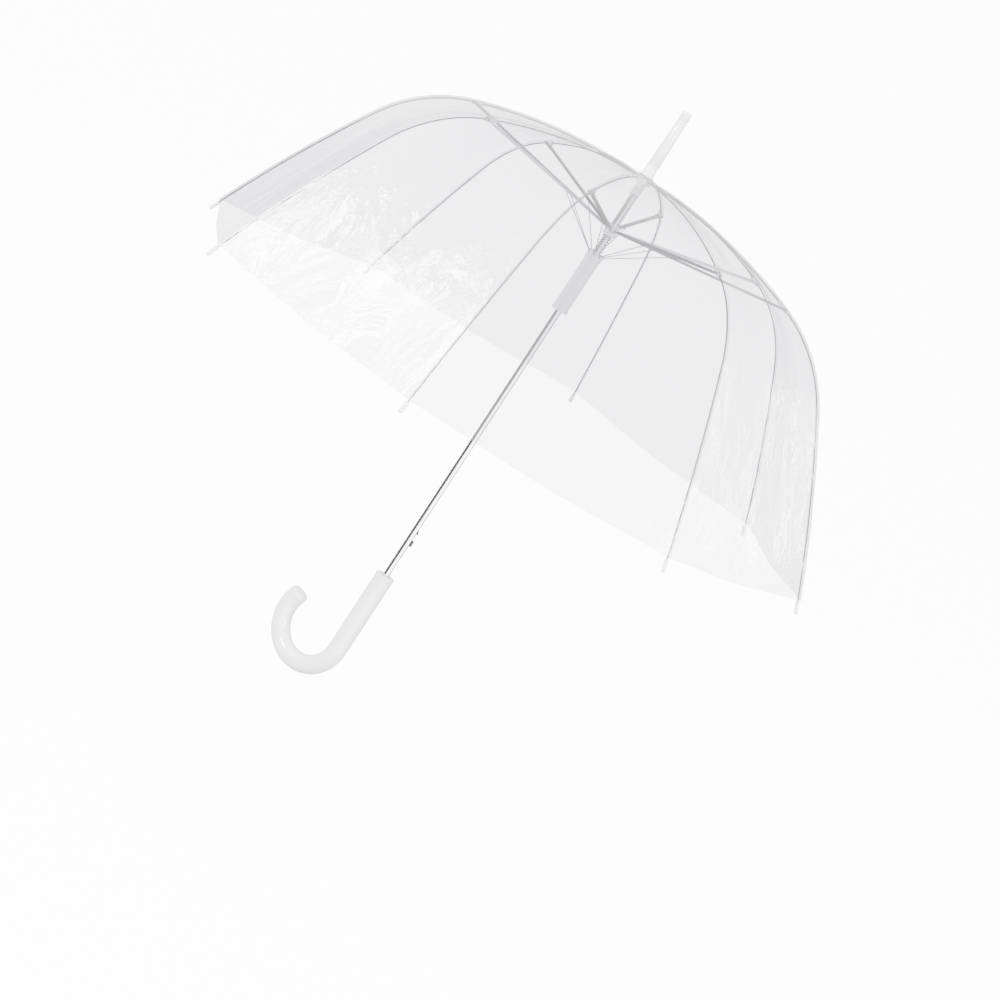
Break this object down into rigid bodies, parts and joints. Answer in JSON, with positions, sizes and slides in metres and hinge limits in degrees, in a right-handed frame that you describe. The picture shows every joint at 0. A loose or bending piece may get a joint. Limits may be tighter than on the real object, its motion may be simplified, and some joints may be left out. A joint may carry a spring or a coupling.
{
  "type": "stick umbrella",
  "caption": "Open stick umbrella with a clear dome canopy, wire ribs, sprung runner, push-button catch and white hook handle.",
  "frame": {"origin": "on the shaft's axis, level with the lowest point of the hooked handle", "axes": "+Z along the shaft from the handle to the ferrule; +X towards rib 1, the release button's side"},
  "size_m": [0.8662, 0.8662, 0.8255],
  "materials": {
    "chrome_steel": "bright chrome-plated tube",
    "white_plastic": "glossy white",
    "clip_plastic": "satin white",
    "clear_plastic": "glossy translucent",
    "dark_wire": "dark grey, satin",
    "zinc_steel": "bright zinc",
    "spring_steel": "bright spring wire",
    "clear_film": "clear, glossy, slightly wrinkled",
    "dark_button": "glossy black"
  },
  "bodies": {
    "stick": {"shaft": "chrome_steel", "ferrule": "white_plastic", "top_notch": "clip_plastic", "spacer_sleeve": "clip_plastic", "buffer_spring": "spring_steel", "handle": "white_plastic", "canopy": "clear_film"},
    "hub": {"hub": "clear_plastic", "drive_spring": "spring_steel"},
    "runner": {"runner": "clear_plastic"},
    "button": {"release_button": "dark_button"},
    "latch": {"latch_spring": "spring_steel"},
    "inner_1": {"rib_inner_1": "dark_wire", "rib_clip_1": "clip_plastic"},
    "outer_1": {"rib_outer_1": "dark_wire", "rib_tip_1": "white_plastic"},
    "stretch_1": {"stretcher_1": "zinc_steel"},
    "strut_1": {"strut_1": "spring_steel"},
    "inner_2": {"rib_inner_2": "dark_wire", "rib_clip_2": "clip_plastic"},
    "outer_2": {"rib_outer_2": "dark_wire", "rib_tip_2": "white_plastic"},
    "stretch_2": {"stretcher_2": "zinc_steel"},
    "strut_2": {"strut_2": "spring_steel"},
    "inner_3": {"rib_inner_3": "dark_wire", "rib_clip_3": "clip_plastic"},
    "outer_3": {"rib_outer_3": "dark_wire", "rib_tip_3": "white_plastic"},
    "stretch_3": {"stretcher_3": "zinc_steel"},
    "strut_3": {"strut_3": "spring_steel"},
    "inner_4": {"rib_inner_4": "dark_wire", "rib_clip_4": "clip_plastic"},
    "outer_4": {"rib_outer_4": "dark_wire", "rib_tip_4": "white_plastic"},
    "stretch_4": {"stretcher_4": "zinc_steel"},
    "strut_4": {"strut_4": "spring_steel"},
    "inner_5": {"rib_inner_5": "dark_wire", "rib_clip_5": "clip_plastic"},
    "outer_5": {"rib_outer_5": "dark_wire", "rib_tip_5": "white_plastic"},
    "stretch_5": {"stretcher_5": "zinc_steel"},
    "strut_5": {"strut_5": "spring_steel"},
    "inner_6": {"rib_inner_6": "dark_wire", "rib_clip_6": "clip_plastic"},
    "outer_6": {"rib_outer_6": "dark_wire", "rib_tip_6": "white_plastic"},
    "stretch_6": {"stretcher_6": "zinc_steel"},
    "strut_6": {"strut_6": "spring_steel"},
    "inner_7": {"rib_inner_7": "dark_wire", "rib_clip_7": "clip_plastic"},
    "outer_7": {"rib_outer_7": "dark_wire", "rib_tip_7": "white_plastic"},
    "stretch_7": {"stretcher_7": "zinc_steel"},
    "strut_7": {"strut_7": "spring_steel"},
    "inner_8": {"rib_inner_8": "dark_wire", "rib_clip_8": "clip_plastic"},
    "outer_8": {"rib_outer_8": "dark_wire", "rib_tip_8": "white_plastic"},
    "stretch_8": {"stretcher_8": "zinc_steel"},
    "strut_8": {"strut_8": "spring_steel"}
  },
  "joints": [
    {"name": "fold_1", "type": "hinge", "parent": "stick", "child": "inner_1", "pos_m": [0.007, 0, 0.733], "axis": [0, 1, 0], "range_deg": [0, 74], "stiffness_Nm_per_rad": 0.6, "springref_deg": -143.24, "deforming": ["canopy"]},
    {"name": "clip_1", "type": "hinge", "parent": "inner_1", "child": "stretch_1", "pos_m": [0.22327, 0, 0.6985], "axis": [0, 1, 0], "range_deg": [-148, 0]},
    {"name": "flex_1", "type": "hinge", "parent": "inner_1", "child": "outer_1", "pos_m": [0.22327, 0, 0.6985], "axis": [0, 1, 0], "range_deg": [-42.92, 0]},
    {"name": "strut_turn_1", "type": "hinge", "parent": "stretch_1", "child": "strut_1", "pos_m": [0.07619, 0, 0.67463], "axis": [0, 1, 0], "range_deg": [0, 22.94]},
    {"name": "fold_2", "type": "hinge", "parent": "stick", "child": "inner_2", "pos_m": [0.00495, 0.00495, 0.733], "axis": [-0.7071, 0.7071, 0], "range_deg": [0, 74]},
    {"name": "clip_2", "type": "hinge", "parent": "inner_2", "child": "stretch_2", "pos_m": [0.15787, 0.15787, 0.6985], "axis": [-0.7071, 0.7071, 0], "range_deg": [-148, 0]},
    {"name": "flex_2", "type": "hinge", "parent": "inner_2", "child": "outer_2", "pos_m": [0.15787, 0.15787, 0.6985], "axis": [-0.7071, 0.7071, 0], "range_deg": [-42.92, 0]},
    {"name": "strut_turn_2", "type": "hinge", "parent": "stretch_2", "child": "strut_2", "pos_m": [0.05387, 0.05387, 0.67463], "axis": [-0.7071, 0.7071, 0], "range_deg": [0, 22.94]},
    {"name": "fold_3", "type": "hinge", "parent": "stick", "child": "inner_3", "pos_m": [0, 0.007, 0.733], "axis": [-1, 0, 0], "range_deg": [0, 74]},
    {"name": "clip_3", "type": "hinge", "parent": "inner_3", "child": "stretch_3", "pos_m": [0, 0.22327, 0.6985], "axis": [-1, 0, 0], "range_deg": [-148, 0]},
    {"name": "flex_3", "type": "hinge", "parent": "inner_3", "child": "outer_3", "pos_m": [0, 0.22327, 0.6985], "axis": [-1, 0, 0], "range_deg": [-42.92, 0]},
    {"name": "strut_turn_3", "type": "hinge", "parent": "stretch_3", "child": "strut_3", "pos_m": [0, 0.07619, 0.67463], "axis": [-1, 0, 0], "range_deg": [0, 22.94]},
    {"name": "fold_4", "type": "hinge", "parent": "stick", "child": "inner_4", "pos_m": [-0.00495, 0.00495, 0.733], "axis": [-0.7071, -0.7071, 0], "range_deg": [0, 74]},
    {"name": "clip_4", "type": "hinge", "parent": "inner_4", "child": "stretch_4", "pos_m": [-0.15787, 0.15787, 0.6985], "axis": [-0.7071, -0.7071, 0], "range_deg": [-148, 0]},
    {"name": "flex_4", "type": "hinge", "parent": "inner_4", "child": "outer_4", "pos_m": [-0.15787, 0.15787, 0.6985], "axis": [-0.7071, -0.7071, 0], "range_deg": [-42.92, 0]},
    {"name": "strut_turn_4", "type": "hinge", "parent": "stretch_4", "child": "strut_4", "pos_m": [-0.05387, 0.05387, 0.67463], "axis": [-0.7071, -0.7071, 0], "range_deg": [0, 22.94]},
    {"name": "fold_5", "type": "hinge", "parent": "stick", "child": "inner_5", "pos_m": [-0.007, 0, 0.733], "axis": [0, -1, 0], "range_deg": [0, 74]},
    {"name": "clip_5", "type": "hinge", "parent": "inner_5", "child": "stretch_5", "pos_m": [-0.22327, 0, 0.6985], "axis": [0, -1, 0], "range_deg": [-148, 0]},
    {"name": "flex_5", "type": "hinge", "parent": "inner_5", "child": "outer_5", "pos_m": [-0.22327, 0, 0.6985], "axis": [0, -1, 0], "range_deg": [-42.92, 0]},
    {"name": "strut_turn_5", "type": "hinge", "parent": "stretch_5", "child": "strut_5", "pos_m": [-0.07619, 0, 0.67463], "axis": [0, -1, 0], "range_deg": [0, 22.94]},
    {"name": "fold_6", "type": "hinge", "parent": "stick", "child": "inner_6", "pos_m": [-0.00495, -0.00495, 0.733], "axis": [0.7071, -0.7071, 0], "range_deg": [0, 74]},
    {"name": "clip_6", "type": "hinge", "parent": "inner_6", "child": "stretch_6", "pos_m": [-0.15787, -0.15787, 0.6985], "axis": [0.7071, -0.7071, 0], "range_deg": [-148, 0]},
    {"name": "flex_6", "type": "hinge", "parent": "inner_6", "child": "outer_6", "pos_m": [-0.15787, -0.15787, 0.6985], "axis": [0.7071, -0.7071, 0], "range_deg": [-42.92, 0]},
    {"name": "strut_turn_6", "type": "hinge", "parent": "stretch_6", "child": "strut_6", "pos_m": [-0.05387, -0.05387, 0.67463], "axis": [0.7071, -0.7071, 0], "range_deg": [0, 22.94]},
    {"name": "fold_7", "type": "hinge", "parent": "stick", "child": "inner_7", "pos_m": [0, -0.007, 0.733], "axis": [1, 0, 0], "range_deg": [0, 74]},
    {"name": "clip_7", "type": "hinge", "parent": "inner_7", "child": "stretch_7", "pos_m": [0, -0.22327, 0.6985], "axis": [1, 0, 0], "range_deg": [-148, 0]},
    {"name": "flex_7", "type": "hinge", "parent": "inner_7", "child": "outer_7", "pos_m": [0, -0.22327, 0.6985], "axis": [1, 0, 0], "range_deg": [-42.92, 0]},
    {"name": "strut_turn_7", "type": "hinge", "parent": "stretch_7", "child": "strut_7", "pos_m": [0, -0.07619, 0.67463], "axis": [1, 0, 0], "range_deg": [0, 22.94]},
    {"name": "fold_8", "type": "hinge", "parent": "stick", "child": "inner_8", "pos_m": [0.00495, -0.00495, 0.733], "axis": [0.7071, 0.7071, 0], "range_deg": [0, 74]},
    {"name": "clip_8", "type": "hinge", "parent": "inner_8", "child": "stretch_8", "pos_m": [0.15787, -0.15787, 0.6985], "axis": [0.7071, 0.7071, 0], "range_deg": [-148, 0]},
    {"name": "flex_8", "type": "hinge", "parent": "inner_8", "child": "outer_8", "pos_m": [0.15787, -0.15787, 0.6985], "axis": [0.7071, 0.7071, 0], "range_deg": [-42.92, 0]},
    {"name": "strut_turn_8", "type": "hinge", "parent": "stretch_8", "child": "strut_8", "pos_m": [0.05387, -0.05387, 0.67463], "axis": [0.7071, 0.7071, 0], "range_deg": [0, 22.94]},
    {"name": "hub_turn", "type": "hinge", "parent": "stretch_1", "child": "hub", "pos_m": [0.007, 0, 0.664], "axis": [0, 1, 0], "range_deg": [0, 74]},
    {"name": "runner_slide", "type": "slide", "parent": "hub", "child": "runner", "axis": [0, 0, 1], "range_m": [0, 0.02373], "deforming": ["drive_spring"]},
    {"name": "button_press", "type": "slide", "parent": "stick", "child": "button", "axis": [-1, 0, 0], "range_m": [0, 0.0017], "stiffness_N_per_m": 400, "springref_m": -0.002},
    {"name": "latch_flex", "type": "hinge", "parent": "stick", "child": "latch", "pos_m": [0.00205, 0, 0.198], "axis": [0, -1, 0], "range_deg": [0, 6.4]}
  ],
  "couplings": [
    {"joint": "clip_1", "follows": "fold_1", "ratio": -2},
    {"joint": "flex_1", "follows": "fold_1", "ratio": -0.58},
    {"joint": "strut_turn_1", "follows": "fold_1", "ratio": 0.31003},
    {"joint": "fold_2", "follows": "fold_1", "ratio": 1},
    {"joint": "clip_2", "follows": "fold_1", "ratio": -2},
    {"joint": "flex_2", "follows": "fold_1", "ratio": -0.58},
    {"joint": "strut_turn_2", "follows": "fold_1", "ratio": 0.31003},
    {"joint": "fold_3", "follows": "fold_1", "ratio": 1},
    {"joint": "clip_3", "follows": "fold_1", "ratio": -2},
    {"joint": "flex_3", "follows": "fold_1", "ratio": -0.58},
    {"joint": "strut_turn_3", "follows": "fold_1", "ratio": 0.31003},
    {"joint": "fold_4", "follows": "fold_1", "ratio": 1},
    {"joint": "clip_4", "follows": "fold_1", "ratio": -2},
    {"joint": "flex_4", "follows": "fold_1", "ratio": -0.58},
    {"joint": "strut_turn_4", "follows": "fold_1", "ratio": 0.31003},
    {"joint": "fold_5", "follows": "fold_1", "ratio": 1},
    {"joint": "clip_5", "follows": "fold_1", "ratio": -2},
    {"joint": "flex_5", "follows": "fold_1", "ratio": -0.58},
    {"joint": "strut_turn_5", "follows": "fold_1", "ratio": 0.31003},
    {"joint": "fold_6", "follows": "fold_1", "ratio": 1},
    {"joint": "clip_6", "follows": "fold_1", "ratio": -2},
    {"joint": "flex_6", "follows": "fold_1", "ratio": -0.58},
    {"joint": "strut_turn_6", "follows": "fold_1", "ratio": 0.31003},
    {"joint": "fold_7", "follows": "fold_1", "ratio": 1},
    {"joint": "clip_7", "follows": "fold_1", "ratio": -2},
    {"joint": "flex_7", "follows": "fold_1", "ratio": -0.58},
    {"joint": "strut_turn_7", "follows": "fold_1", "ratio": 0.31003},
    {"joint": "fold_8", "follows": "fold_1", "ratio": 1},
    {"joint": "clip_8", "follows": "fold_1", "ratio": -2},
    {"joint": "flex_8", "follows": "fold_1", "ratio": -0.58},
    {"joint": "strut_turn_8", "follows": "fold_1", "ratio": 0.31003},
    {"joint": "hub_turn", "follows": "fold_1", "ratio": 1},
    {"joint": "runner_slide", "follows": "fold_1", "m_per_rad": 0.018376},
    {"joint": "latch_flex", "follows": "button_press", "rad_per_m": 65}
  ]
}
